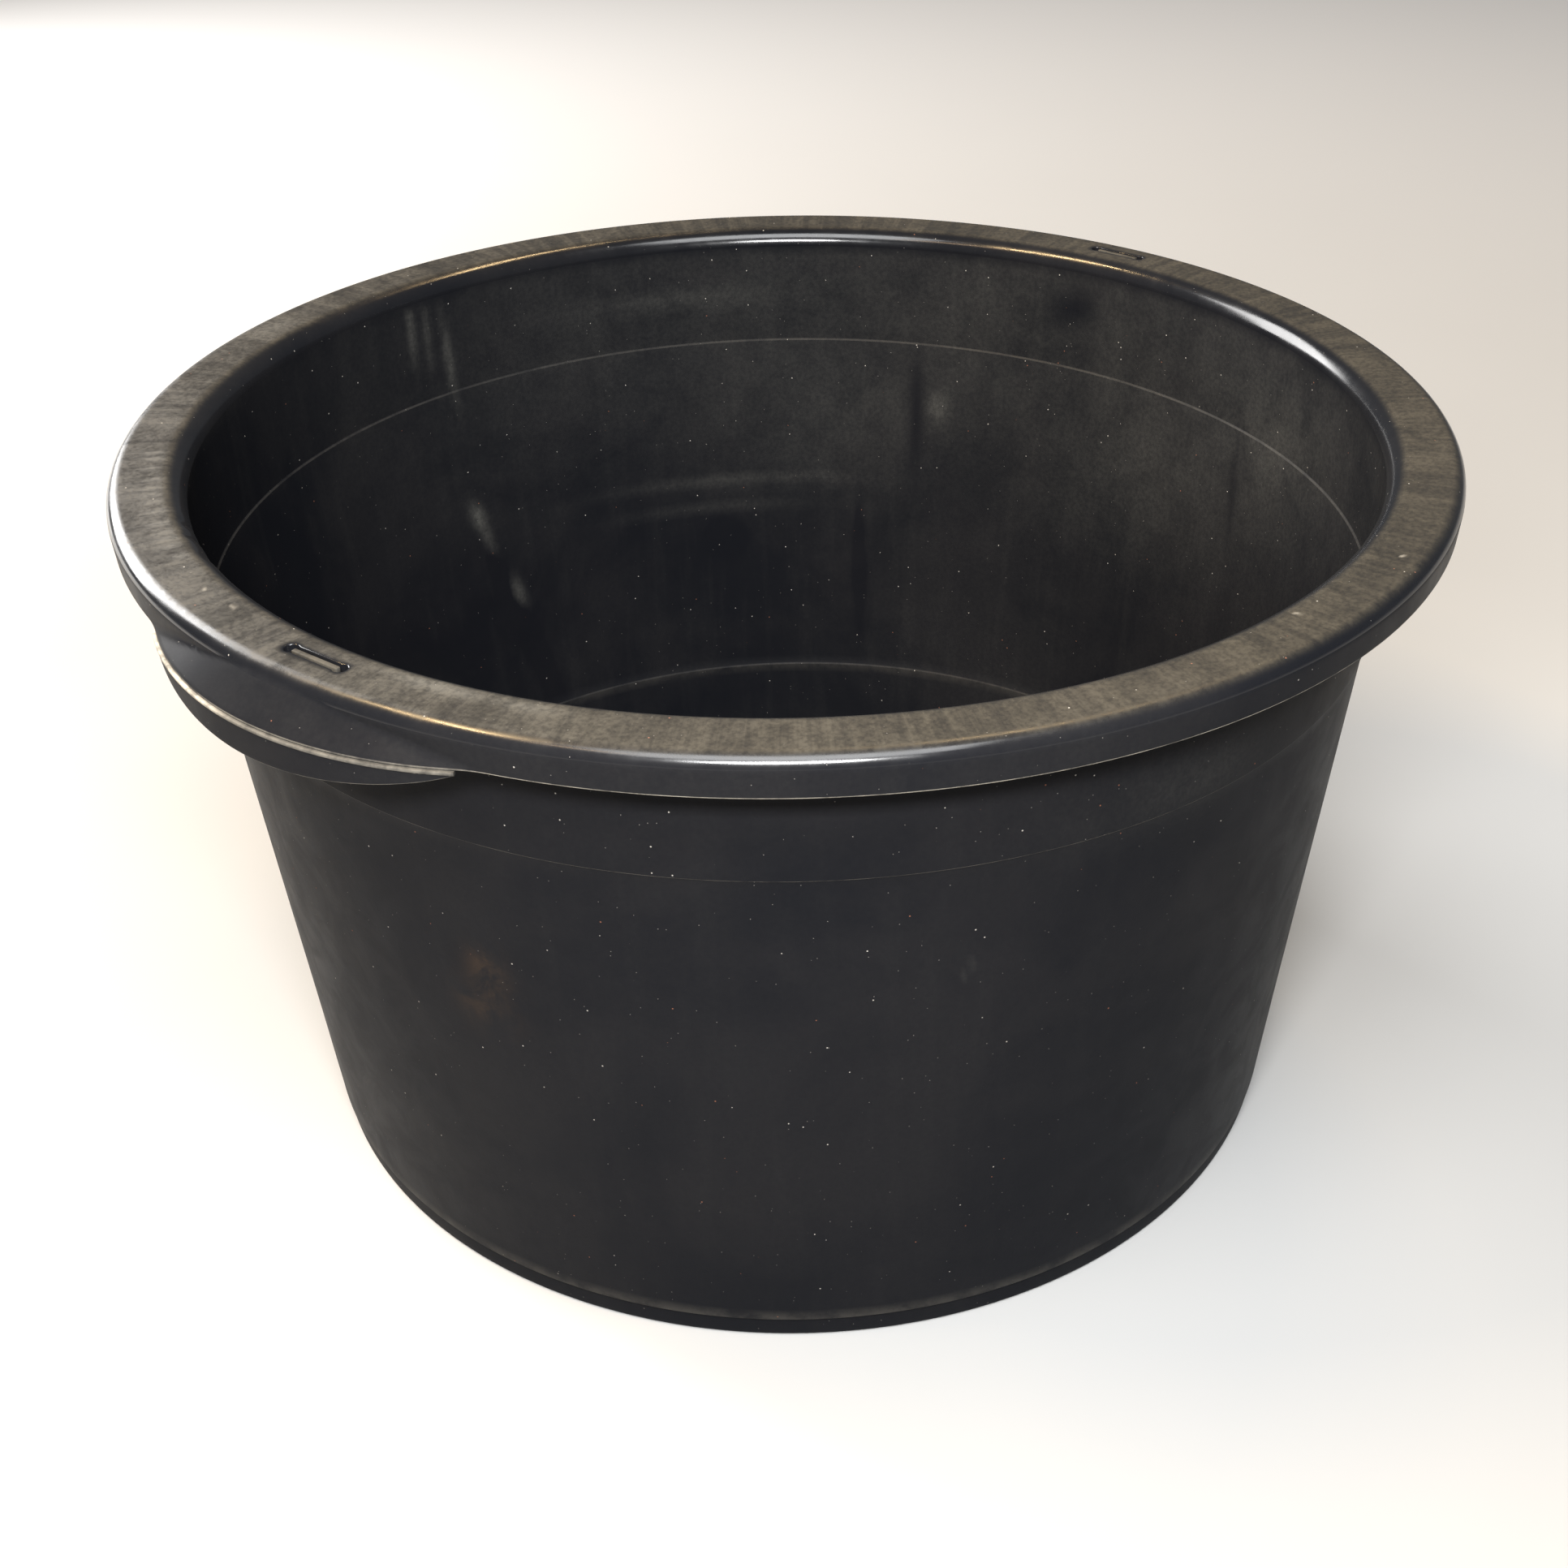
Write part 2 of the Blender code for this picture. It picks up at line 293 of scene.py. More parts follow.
# ---- the tub's wall ----
def upper_inside(z):
    """Inner radius of the wall above its step."""
    return LIP_RADIUS - UPPER_TAPER * (HEIGHT - z)


def lower_outside(z):
    """Outer radius of the wall below its step."""
    step_radius = upper_inside(OUTER_STEP) + WALL - STEP_IN
    return BASE_RADIUS + (step_radius - BASE_RADIUS) * z / OUTER_STEP


def inside_profile():
    """From near the axis on the floor up to the rounded lip."""
    floor_edge = lower_outside(FLOOR) - WALL - THICK_EXTRA
    fillet_start = (floor_edge - FLOOR_FILLET, FLOOR)
    low_line = (lower_outside(THICK_ZONE) - WALL - THICK_EXTRA, THICK_ZONE)
    step_low = (upper_inside(INNER_STEP) - STEP_IN, INNER_STEP)
    points = line((AXIS_GAP, FLOOR), fillet_start, FLOOR_PITCH)
    fillet = arc(floor_edge - FLOOR_FILLET, FLOOR + FLOOR_FILLET, FLOOR_FILLET, -90, -5, 10)
    points += fillet[:-1]
    points += line(fillet[-1], low_line, ROW_PITCH)
    points += rounded_ledge(low_line, THICK_EXTRA, THICK_EXTRA * 0.6)
    above_line = (low_line[0] + THICK_EXTRA, THICK_ZONE + LEDGE_RISE)
    points += line(above_line, step_low, ROW_PITCH)
    points += rounded_ledge(step_low, STEP_IN, STEP_EDGE)
    above_step = (upper_inside(INNER_STEP + LEDGE_RISE), INNER_STEP + LEDGE_RISE)
    lip_start = (LIP_RADIUS, HEIGHT - LIP_FILLET)
    points += line(above_step, lip_start, ROW_PITCH)
    return points


def rounded_ledge(corner, width, edge):
    """The wall's small upward-facing ledge: a rounded nose, then a slope up to its back."""
    nose = arc(corner[0] + edge, corner[1] - edge, edge, 180, 125, 4)
    back = (corner[0] + width, corner[1] + LEDGE_RISE)
    return nose + line(nose[-1], back, width / 2)[1:]


def rim_profile():
    """Lip, flange, shoulder, skirt and back along the underside to the wall."""
    shoulder = RIM_RADIUS - SHOULDER_FILLET
    shoulder_z = HEIGHT - SHOULDER_FILLET
    skirt_foot = RIM_RADIUS - SKIRT_DRAFT
    inner_foot = skirt_foot - SKIRT
    inner_radius = SHOULDER_FILLET - SKIRT
    lip = LIP_RADIUS + LIP_FILLET
    neck = upper_inside(FLANGE_UNDERSIDE) + WALL + NECK_FILLET
    points = arc(lip, HEIGHT - LIP_FILLET, LIP_FILLET, 180, 90, 18)
    points += line((lip, HEIGHT), (shoulder, HEIGHT), FLANGE_PITCH)[1:]
    points += arc(shoulder, shoulder_z, SHOULDER_FILLET, 90, 0, 16)[:-1]
    edge_z = SKIRT_BOTTOM + SKIRT_EDGE
    points += line((RIM_RADIUS, shoulder_z), (skirt_foot, edge_z), SKIRT_PITCH)
    points += arc(skirt_foot - SKIRT_EDGE, edge_z, SKIRT_EDGE, 0, -90, 5)
    inner_edge_z = SKIRT_BOTTOM + SKIRT_INNER_EDGE
    points += arc(inner_foot + SKIRT_INNER_EDGE, inner_edge_z, SKIRT_INNER_EDGE, 270, 180, 3)
    inner_low = (inner_foot, SKIRT_BOTTOM + 2 * SKIRT_INNER_EDGE)
    points += line(inner_low, (shoulder + inner_radius, shoulder_z), HIDDEN_PITCH)
    points += arc(shoulder, shoulder_z, inner_radius, 0, 90, 6)[:-1]
    points += line((shoulder, FLANGE_UNDERSIDE), (neck, FLANGE_UNDERSIDE), HIDDEN_PITCH)
    points += arc(neck, FLANGE_UNDERSIDE - NECK_FILLET, NECK_FILLET, 90, 180, 8)
    return points


def outside_profile():
    """From under the flange down the outer wall to near the axis under the base."""
    step_top = (upper_inside(OUTER_STEP) + WALL, OUTER_STEP)
    step_low = (step_top[0] - STEP_IN, OUTER_STEP - OUTER_STEP_FALL)
    neck_z = FLANGE_UNDERSIDE - NECK_FILLET - ROW_CLEAR
    under_flange = (upper_inside(neck_z) + WALL, neck_z)
    foot_top = (lower_outside(FOOT_HEIGHT), FOOT_HEIGHT)
    foot = lower_outside(0.0) - FOOT_IN
    points = line(under_flange, (step_top[0], OUTER_STEP + ROW_CLEAR), ROW_PITCH)
    points += arc(step_top[0] - STEP_EDGE, OUTER_STEP + STEP_EDGE, STEP_EDGE, 0, -90, 5)
    points.append((step_low[0] + STEP_EDGE * 0.3, OUTER_STEP))
    points += line(step_low, (foot_top[0], FOOT_HEIGHT + ROW_CLEAR), ROW_PITCH)
    points += arc(foot_top[0] - FOOT_IN, FOOT_HEIGHT, FOOT_IN, 0, -60, 3)
    points += line((foot, FOOT_HEIGHT - ROW_CLEAR), (foot, BASE_FILLET), HIDDEN_PITCH)
    points += arc(foot - BASE_FILLET, BASE_FILLET, BASE_FILLET, 0, -90, 6)
    points += line((foot - BASE_FILLET, 0.0), (AXIS_GAP, 0.0), BASE_PITCH)[1:]
    points.append((AXIS_GAP, 0.0))
    return points


def lobe_edge(angle, radius):
    """Distance from the tub's axis to a circle about the nearer lobe's axis, at each angle."""
    along = np.abs(np.cos(angle))
    across = np.sin(angle)
    under_root = np.maximum(radius * radius - (LOBE_AXIS * across) ** 2, 0.0)
    reach = LOBE_AXIS * along + np.sqrt(under_root)
    return np.where(along > LOBE_COSINE, reach, 0.0)


def wall_waves(angle, z):
    """Slow unevenness of a big moulding, between 0 and 1."""
    waves = 0.30 * np.sin(3 * angle + 0.7 + 4 * z)
    waves += 0.25 * np.sin(5 * angle - 1.1 - 7 * z)
    waves += 0.25 * np.sin(8 * angle + 2.3 + 11 * z)
    waves += 0.20 * np.sin(13 * angle + 0.2 - 9 * z)
    return 0.5 + 0.5 * waves


def tub_grid():
    """Radius and height of every grid point, and where the rim's rows begin and end."""
    inside = inside_profile()
    rim = rim_profile()
    outside = outside_profile()
    profile = np.array(inside + rim + outside)
    rim_start = len(inside)
    rim_end = rim_start + len(rim)
    angle = np.arange(COLUMNS) * 2 * math.pi / COLUMNS
    r = np.repeat(profile[:, 0][:, None], COLUMNS, axis=1)
    z = np.repeat(profile[:, 1][:, None], COLUMNS, axis=1)
    a = np.repeat(angle[None, :], len(profile), axis=0)

    shoulder_z = HEIGHT - SHOULDER_FILLET
    rows = np.arange(len(profile))[:, None]
    foot_face = profile[:, 1][:, None] <= SKIRT_BOTTOM + TINY
    in_rim = (rows >= rim_start) & (rows < rim_end)
    middle = RIM_RADIUS - SKIRT_DRAFT - SKIRT / 2
    outer_side = in_rim & (r > middle) & (z < HEIGHT - LOBE_TOP_DROP * 0.5)
    inner_side = in_rim & (r <= middle) & (r > HOLLOW_FROM) & (z < FLANGE_UNDERSIDE)
    sink = np.clip((shoulder_z - z) / (shoulder_z - SKIRT_BOTTOM), 0, 1)
    plain = RIM_RADIUS - SKIRT_DRAFT * sink
    inset = np.where(z < SKIRT_BOTTOM + SKIRT_EDGE, plain - r, 0.0)
    flare = LOBE_RADIUS + SKIRT_BOTTOM - z
    flared = lobe_edge(a, flare) - inset
    blend = LOBE_BLEND * (0.1 + 0.9 * smooth_step(0, 0.5, sink))
    r = np.where(outer_side, smooth_max(r, flared, blend), r)
    hollow = lobe_edge(a, flare - LOBE_SIDE_WALL) + np.where(foot_face, SKIRT_INNER_EDGE, 0.0)
    r = np.where(inner_side, smooth_max(r, hollow, LOBE_BLEND / 2), r)
    return a, r, z, rim_start, rim_end


def zone_of_rows(r, z, rim_start, rim_end):
    """Which material each row of the grid carries."""
    rows = np.arange(r.shape[0])
    zone = np.where(rows < rim_start, INNER, np.where(rows < rim_end, RIM, OUTER))
    # away from the lobes, where the profile is plain
    plain_r = r[:, COLUMNS // 4]
    plain_z = z[:, COLUMNS // 4]
    skirt_face = plain_r > RIM_RADIUS - SKIRT_DRAFT - SKIRT / 2
    skirt_face &= plain_z < HEIGHT - SHOULDER_FILLET * 0.75
    zone[skirt_face & (zone == RIM)] = SKIRT_FACE
    return zone.astype(np.int32)


def build_tub(materials):
    """The tub in one piece, with its materials, its wear and both slots."""
    a, r, z, rim_start, rim_end = tub_grid()
    row_count = r.shape[0]
    masks = surface_masks(a, r, z, rim_start, rim_end)
    row_zone = zone_of_rows(r, z, rim_start, rim_end)
    r, z = uneven(a, r, z, rim_start, rim_end)

    vertices = np.stack([r * np.cos(a), r * np.sin(a), z], axis=2).reshape(-1, 3).tolist()
    floor_centre = len(vertices)
    vertices.append((0.0, 0.0, FLOOR))
    base_centre = len(vertices)
    vertices.append((0.0, 0.0, 0.0))
    faces = []
    for row in range(row_count - 1):
        start = row * COLUMNS
        for i in range(COLUMNS):
            j = (i + 1) % COLUMNS
            faces.append((start + i, start + COLUMNS + i, start + COLUMNS + j, start + j))
    last = (row_count - 1) * COLUMNS
    for i in range(COLUMNS):
        j = (i + 1) % COLUMNS
        faces.append((floor_centre, i, j))
        faces.append((last + i, base_centre, last + j))
    tub = new_object("tub_body", vertices, faces)
    zones = np.repeat(row_zone[:-1], COLUMNS)
    zones = np.append(zones, np.tile([INNER, OUTER], COLUMNS).astype(np.int32))
    for material in materials:
        tub.data.materials.append(material)
    tub.data.polygons.foreach_set("material_index", zones)
    for name, values in masks.items():
        # the two centre points carry nothing
        values = np.append(values.reshape(-1), [0.0, 0.0])
        add_mask(tub.data, name, values)
    cut_slots(tub)
    finish(tub, "tub_shell")


def uneven(a, r, z, rim_start, rim_end):
    """Small departures from a perfect turning: wavy walls, an uneven floor, a knocked lip."""
    rows = np.arange(r.shape[0])[:, None]
    inside = rows < rim_start
    outside = rows >= rim_end
    wall = (inside | outside) & (z > WAVE_START) & (z < HEIGHT - WAVE_STOP)
    depth = WAVE_DEPTH * wall_waves(a, z)
    fade = smooth_step(WAVE_START, WAVE_FULL, z)
    fade = fade * smooth_step(HEIGHT - WAVE_STOP, HEIGHT - WAVE_EASE, z)
    r = np.where(wall, r - depth * fade, r)

    # the floor domes and dips a little between its centre and its edge
    floor = inside & (z < FLOOR + TINY)
    dome = np.sin(math.pi * np.clip(r / FLOOR_DIP_REACH, 0, 1))
    z = np.where(floor, z + FLOOR_DIP * dome * wall_waves(a * 2, r), z)

    # knocks along the inner lip
    lip_rows = (rows >= rim_start) & (rows < rim_end) & (z > HEIGHT - LIP_FILLET)
    ease = smooth_step(LIP_RADIUS + LIP_FILLET, LIP_RADIUS + 0.3 * LIP_FILLET, r)
    ease = ease * smooth_step(HEIGHT - LIP_FILLET, HEIGHT - 0.6 * LIP_FILLET, z)
    degrees = np.degrees(a)
    for middle, width, deep in LIP_KNOCKS:
        turn = (degrees - middle + 180) % 360 - 180
        knock = np.where(lip_rows, deep * ease * np.exp(-((turn / width) ** 2)), 0.0)
        r = r + knock
        z = z - 0.5 * knock
    return r, z


# ---- marks left by use ----
# angle round the tub, height, half width, half height, lean sideways per metre up, strength
INSIDE_MARKS = [
    (88.0, 0.345, 0.0030, 0.024, 0.00, 0.50),  # pale streak under the lip
    (85.8, 0.335, 0.0022, 0.020, 0.00, 0.35),  # pale streak under the lip
    (83.2, 0.318, 0.0030, 0.026, 0.05, 0.45),  # pale streak under the lip
    (158.0, 0.343, 0.0450, 0.016, 0.00, 0.45),  # dusty wall under the lip
    (82.5, 0.216, 0.0050, 0.009, 0.25, 0.85),  # pale smear
    (81.6, 0.200, 0.0035, 0.008, 0.25, 0.55),  # pale smear
    (78.4, 0.160, 0.0045, 0.009, 0.20, 0.65),  # pale smear
    (20.0, 0.258, 0.0060, 0.009, 0.00, 0.40),  # pale smear
    (78.2, 0.135, 0.0060, 0.055, 0.30, -0.20),  # wiped streak
    (22.7, 0.257, 0.0050, 0.036, 0.00, -0.22),  # wiped streak
    (2.6, 0.334, 0.0170, 0.014, -0.40, -0.24),  # wiped patch
    (48.2, 0.168, 0.0090, 0.008, 0.00, -0.38),  # wiped patch
    (30.0, 0.150, 0.0034, 0.034, 0.02, -0.26),  # wiped streak
    (-24.2, 0.262, 0.0040, 0.024, 0.10, -0.22),  # wiped streak
    (47.0, 0.206, 0.0700, 0.0016, 0.00, 0.30),  # splash tide line
    (44.0, 0.199, 0.0500, 0.0012, 0.00, 0.26),  # splash tide line
    (50.0, 0.188, 0.0550, 0.0014, 0.00, 0.20),  # splash tide line
    (54.0, 0.326, 0.0600, 0.006, 0.00, 0.22),  # pale cloud
    (-8.0, 0.235, 0.0600, 0.045, 0.00, 0.18),  # pale cloud
    (-30.0, 0.300, 0.0500, 0.040, 0.00, 0.22),  # pale cloud
    (35.0, 0.240, 0.0500, 0.040, 0.00, 0.14),  # pale cloud
]
OUTSIDE_MARKS = [
    (-126.5, 0.231, 0.0009, 0.0028, 0.60, 0.90),  # pale scratch
    (-105.0, 0.300, 0.0600, 0.018, 0.00, 0.20),  # dust cloud
]
RUST_MARKS = [
    (-169.0, 0.214, 0.0090, 0.012, 0.00, 0.36),  # brown smear
    (-170.0, 0.193, 0.0130, 0.012, 0.00, 0.28),  # brown smear
]
# on the flange: angle, radius, half width, half depth, lean, strength
FLANGE_MARKS = [
    (-168.0, 0.3010, 0.0200, 0.0040, 0.00, 1.00),  # dusty patch
    (-160.5, 0.3020, 0.0140, 0.0035, 0.00, 0.60),  # dusty patch
    (103.5, 0.3100, 0.0180, 0.0060, 0.00, 0.40),  # dusty patch
]
# scuffed stripes across the flange
FLANGE_MARKS += [
    (136.5 + 1.9 * i + 0.5 * math.sin(5 * i), 0.3040, 0.0022, 0.0050, 0.00, 0.95)
    for i in range(13)
]
PLASTER_SPOTS = [
    (170.2, 0.3038, 0.0009, 0.0010, 0.00, 1.80),  # plaster spot
    (165.9, 0.3060, 0.0009, 0.0009, 0.00, 0.60),  # plaster spot
    (-98.0, 0.3015, 0.0008, 0.0008, 0.00, 1.20),  # plaster spot
    (-84.0, 0.3120, 0.0008, 0.0008, 0.00, 1.20),  # plaster spot
]


def marks_value(marks, degrees, along, radius):
    """Sum of soft-edged marks. along is the height on a wall, or the radius on the flange."""
    total = np.zeros_like(degrees)
    for angle, place, half_width, half_height, lean, strength in marks:
        turn = (degrees - angle + 180) % 360 - 180
        up = along - place
        across = np.radians(turn) * radius - lean * up
        distance = (across / half_width) ** 2 + (up / half_height) ** 2
        total += strength * np.exp(-distance)
    return total


def surface_masks(a, r, z, rim_start, rim_end):
    """How much dust, rubbing and marking each point carries, painted highlights, light and shade
    included.
    """
    rows = np.arange(r.shape[0])[:, None]
    inside = np.broadcast_to(rows < rim_start, r.shape)
    outside = np.broadcast_to(rows >= rim_end, r.shape)
    rim = ~inside & ~outside
    degrees = np.degrees(a)
    floor = inside & (z < FLOOR + FLOOR_FILLET * 0.3)
    shoulder = RIM_RADIUS - SHOULDER_FILLET
    flange_top = rim & (z > HEIGHT - FLANGE_TOP_DROP) & (r < RIM_RADIUS)

    # dust lies on what faces up
    flange_dust = smooth_step(LIP_RADIUS + 0.45 * LIP_FILLET, LIP_RADIUS + 0.85 * LIP_FILLET, r)
    flange_dust = flange_dust * smooth_step(
        RIM_RADIUS - DUST_SHORT_OF_RIM, shoulder + DUST_PAST_SHOULDER, r
    )
    dust = np.where(flange_top, flange_dust, 0.0)
    ledge = inside & (np.abs(z - INNER_STEP) < LEDGE_RISE)
    low_ledge = inside & (np.abs(z - THICK_ZONE) < LOW_LEDGE_REACH)
    dust = np.where(ledge | low_ledge, LEDGE_DUST, dust)
    dust = np.where(floor, FLOOR_DUST, dust)

    # pale lines where an edge has been rubbed; on the skirt's edge, the outer step and the inner
    # lines they also paint highlights
    wear_and_highlight = np.zeros_like(r)
    skirt_edge = rim & (z < SKIRT_BOTTOM + SKIRT_EDGE * 0.9) & (r > RIM_RADIUS - SKIRT)
    under_lobe = np.abs(np.cos(a)) > math.cos(LOBE_SPREAD)
    skirt_wear_and_highlight = np.where(under_lobe, SKIRT_WEAR_AND_HIGHLIGHT_UNDER_LOBE, SKIRT_WEAR_AND_HIGHLIGHT)
    wear_and_highlight = np.where(skirt_edge, skirt_wear_and_highlight, wear_and_highlight)
    step_edge = outside & (z < OUTER_STEP + STEP_EDGE) & (z > OUTER_STEP - OUTER_LINE_REACH)
    wear_and_highlight = np.where(step_edge, STEP_WEAR_AND_HIGHLIGHT, wear_and_highlight)
    wear_and_highlight = np.where(inside & (np.abs(z - INNER_STEP) < STEP_EDGE), INNER_LINE_WEAR_AND_HIGHLIGHT, wear_and_highlight)
    wear_and_highlight = np.where(inside & (np.abs(z - THICK_ZONE) < LOW_LINE_REACH), INNER_LINE_WEAR_AND_HIGHLIGHT, wear_and_highlight)
    foot_edge = outside & (np.abs(z - FOOT_HEIGHT) < FOOT_IN)
    wear_and_highlight = np.where(foot_edge, FOOT_WEAR, wear_and_highlight)

    radius = r.mean(axis=1, keepdims=True)
    inner_marks_and_light = marks_value(INSIDE_MARKS, degrees, z, radius)
    # painted light: the upper wall's film is made paler on the side away from the left grip, and
    # painted shade makes the film darker on the other side
    lit_side = 0.5 + 0.5 * np.cos(a - PAINTED_LIGHT_HEADING)
    inner_marks_and_light += PAINTED_LIGHT_GAIN * smooth_step(PAINTED_LIGHT_FROM, PAINTED_LIGHT_TO, z) * lit_side
    inner_marks_and_light -= PAINTED_SHADE_LOSS * (1 - lit_side)
    outer_marks = marks_value(OUTSIDE_MARKS, degrees, z, radius)
    flange_marks = marks_value(FLANGE_MARKS, degrees, r, radius)
    # inside, the mark layer holds the marks of use and the painted light and shade
    mark = np.where(inside, inner_marks_and_light, np.where(outside, outer_marks, 0.0))
    mark = np.where(flange_top, flange_marks, mark)
    spots = marks_value(PLASTER_SPOTS, degrees, r, radius)
    wear_and_highlight = np.where(flange_top, wear_and_highlight + spots, wear_and_highlight)
    rust = np.where(outside, marks_value(RUST_MARKS, degrees, z, radius), 0.0)
    return {"dust": dust, "wear_and_highlight": wear_and_highlight, "mark": mark, "rust": rust}


# ---- slots in the flange ----
def dog_bone(extra):
    """Slot outline in the slot's own plane: along y, with two round ends and a narrower waist."""
    steps = 14
    end_radius = SLOT_END_RADIUS + extra
    waist = SLOT_HALF_WAIST + extra
    centre = SLOT_HALF_LENGTH - SLOT_END_RADIUS
    neck = math.degrees(math.asin(waist / end_radius))
    return arc(0.0, centre, end_radius, neck - 90, 270 - neck, steps) + arc(
        0.0, -centre, end_radius, neck + 90, 450 - neck, steps
    )


def open_patch(work, z, to_slot, half_width, half_length):
    """Remove a patch of flat faces round a slot and return the edges of the hole."""
    patch = []
    for face in work.faces:
        centre = face.calc_center_median()
        if abs(centre.z - z) > 1e-5 or abs(face.normal.z) < 0.99:
            continue
        local = to_slot @ centre
        if abs(local.x) < half_width and abs(local.y) < half_length:
            patch.append(face)
    inner = set(patch)
    border = set()
    for face in patch:
        for edge in face.edges:
            if any(other not in inner for other in edge.link_faces):
                border.add(edge)
    bmesh.ops.delete(work, geom=patch, context="FACES")
    return [edge for edge in border if edge.is_valid]


def slot_rings(work, place):
    """Outlines of a slot from its rounded upper edge down to the underside of the flange."""
    steps = 4
    levels = []
    for i in range(steps + 1):
        turn = math.radians(90 * i / steps)
        drop = SLOT_EDGE * (1 - math.cos(turn))
        levels.append((SLOT_EDGE * (1 - math.sin(turn)), HEIGHT - drop))
    levels.append((0.0, FLANGE_UNDERSIDE))
    rings = []
    for extra, z in levels:
        rings.append([work.verts.new(place @ Vector((x, y, z))) for x, y in dog_bone(extra)])
    return rings


def cut_slots(tub):
    """Open both slots through the flange, with rounded upper edges."""
    work = bmesh.new()
    work.from_mesh(tub.data)
    for turn in (math.pi + SLOT_TURN_LEFT, SLOT_TURN_RIGHT):
        place = Matrix.Rotation(turn, 4, "Z") @ Matrix.Translation((SLOT_CENTRE, 0.0, 0.0))
        to_slot = place.inverted()
        half_width = SLOT_END_RADIUS + PATCH_SIDE
        half_length = SLOT_HALF_LENGTH + PATCH_END
        top_edges = open_patch(work, HEIGHT, to_slot, half_width, half_length)
        low_edges = open_patch(work, FLANGE_UNDERSIDE, to_slot, half_width, half_length)
        rings = slot_rings(work, place)
        count = len(rings[0])
        made = []
        ring_edges = []
        for ring in (rings[0], rings[-1]):
            pairs = [(ring[i], ring[(i + 1) % count]) for i in range(count)]
            ring_edges.append([work.edges.new(pair) for pair in pairs])
        for upper, lower in zip(rings, rings[1:]):
            for i in range(count):
                j = (i + 1) % count
                made.append(work.faces.new((upper[i], upper[j], lower[j], lower[i])))
        for edges in (top_edges + ring_edges[0], low_edges + ring_edges[1]):
            filled = bmesh.ops.triangle_fill(work, edges=edges, use_beauty=True)["geom"]
            made += [item for item in filled if isinstance(item, bmesh.types.BMFace)]
        for face in made:
            face.material_index = RIM
            face.smooth = True
    bmesh.ops.recalc_face_normals(work, faces=work.faces)
    work.to_mesh(tub.data)
    work.free()


# ---- the grip inserts ----
def apron_section(angle):
    """Closed section of ledge and apron at an angle about the lobe's axis."""
    edge = APRON_EDGE
    outer = LOBE_RADIUS + LEDGE_OUT
    face = LOBE_RADIUS + APRON_OUT
    inner = face - APRON
    across = min(1.0, abs(face * math.sin(angle)) / INSERT_HALF_WIDTH)
    drop = APRON_DEPTH * (1 - across * across) ** ARCH_POWER
    bottom = LEDGE_BOTTOM - max(drop, APRON_LEAST)
    tip = min(edge, drop * 0.45 + APRON_LEAST * 0.4)
    points = arc(outer - edge, LEDGE_TOP - edge, edge, 90, 0, 4)
    points += arc(outer - edge, LEDGE_BOTTOM + edge, edge, 0, -80, 4)
    # always eight points, so that the sections can be joined point to point
    start_z = LEDGE_BOTTOM - min(0.0001, drop * 0.02)
    points += [(face, start_z + (bottom + tip - start_z) * i / 8) for i in range(8)]
    points += arc(face - tip, bottom + tip, tip, 0, -90, 4)
    points += arc(inner + tip, bottom + tip, tip, -90, -180, 4)
    points += [(inner, (bottom + LEDGE_TOP) / 2), (inner, LEDGE_TOP)]
    return points


def build_apron():
    """Ledge and crescent apron, swept about the lobe's axis."""
    columns = 180
    limit = math.asin(INSERT_HALF_WIDTH / (LOBE_RADIUS + APRON_OUT))
    vertices = []
    for i in range(columns + 1):
        angle = limit * (2 * i / columns - 1)
        for radius, z in apron_section(angle):
            vertices.append((LOBE_AXIS + radius * math.cos(angle), radius * math.sin(angle), z))
    size = len(vertices) // (columns + 1)
    faces = []
    for i in range(columns):
        for j in range(size):
            k = (j + 1) % size
            a, b = i * size, (i + 1) * size
            faces.append((a + j, a + k, b + k, b + j))
    faces.append(tuple(range(size)))
    faces.append(tuple(columns * size + j for j in reversed(range(size))))
    return new_object("apron", vertices, faces)


def slab(name, outline, low, high, edge):
    """Upright prism on an outline, with its edges rounded over."""
    count = len(outline)
    vertices = [(x, y, low) for x, y in outline] + [(x, y, high) for x, y in outline]
    faces = [tuple(reversed(range(count))), tuple(range(count, 2 * count))]
    for i in range(count):
        j = (i + 1) % count
        faces.append((i, j, count + j, count + i))
    item = new_object(name, vertices, faces)
    work = bmesh.new()
    work.from_mesh(item.data)
    bmesh.ops.recalc_face_normals(work, faces=work.faces)
    sharp = [e for e in work.edges if e.calc_face_angle(0.0) > BEVEL_ANGLE]
    bmesh.ops.bevel(
        work,
        geom=sharp,
        offset=edge,
        segments=3,
        profile=0.5,
        affect="EDGES",
        clamp_overlap=True,
    )
    work.to_mesh(item.data)
    work.free()
    return item


def web_outline():
    """Plate between the lobe's foot and the wall, seen from above."""
    outer = LOBE_RADIUS - APRON / 2
    outer_end = math.degrees(math.asin(WEB_HALF_WIDTH / outer))
    inner_end = math.degrees(math.asin(WEB_HALF_WIDTH / WEB_INNER_RADIUS))
    outline = arc(LOBE_AXIS, 0.0, outer, -outer_end, outer_end, 48)
    return outline + arc(0.0, 0.0, WEB_INNER_RADIUS, inner_end, -inner_end, 32)


def join_solids(item, others):
    """Unite closed solids into one and leave a single clean mesh."""
    for other in others:
        change = item.modifiers.new("join", "BOOLEAN")
        change.operation = "UNION"
        change.solver = "EXACT"
        change.object = other
    bpy.context.view_layer.update()
    depsgraph = bpy.context.evaluated_depsgraph_get()
    mesh = bpy.data.meshes.new_from_object(item.evaluated_get(depsgraph))
    for other in others + [item]:
        bpy.data.objects.remove(other, do_unlink=True)
    return mesh


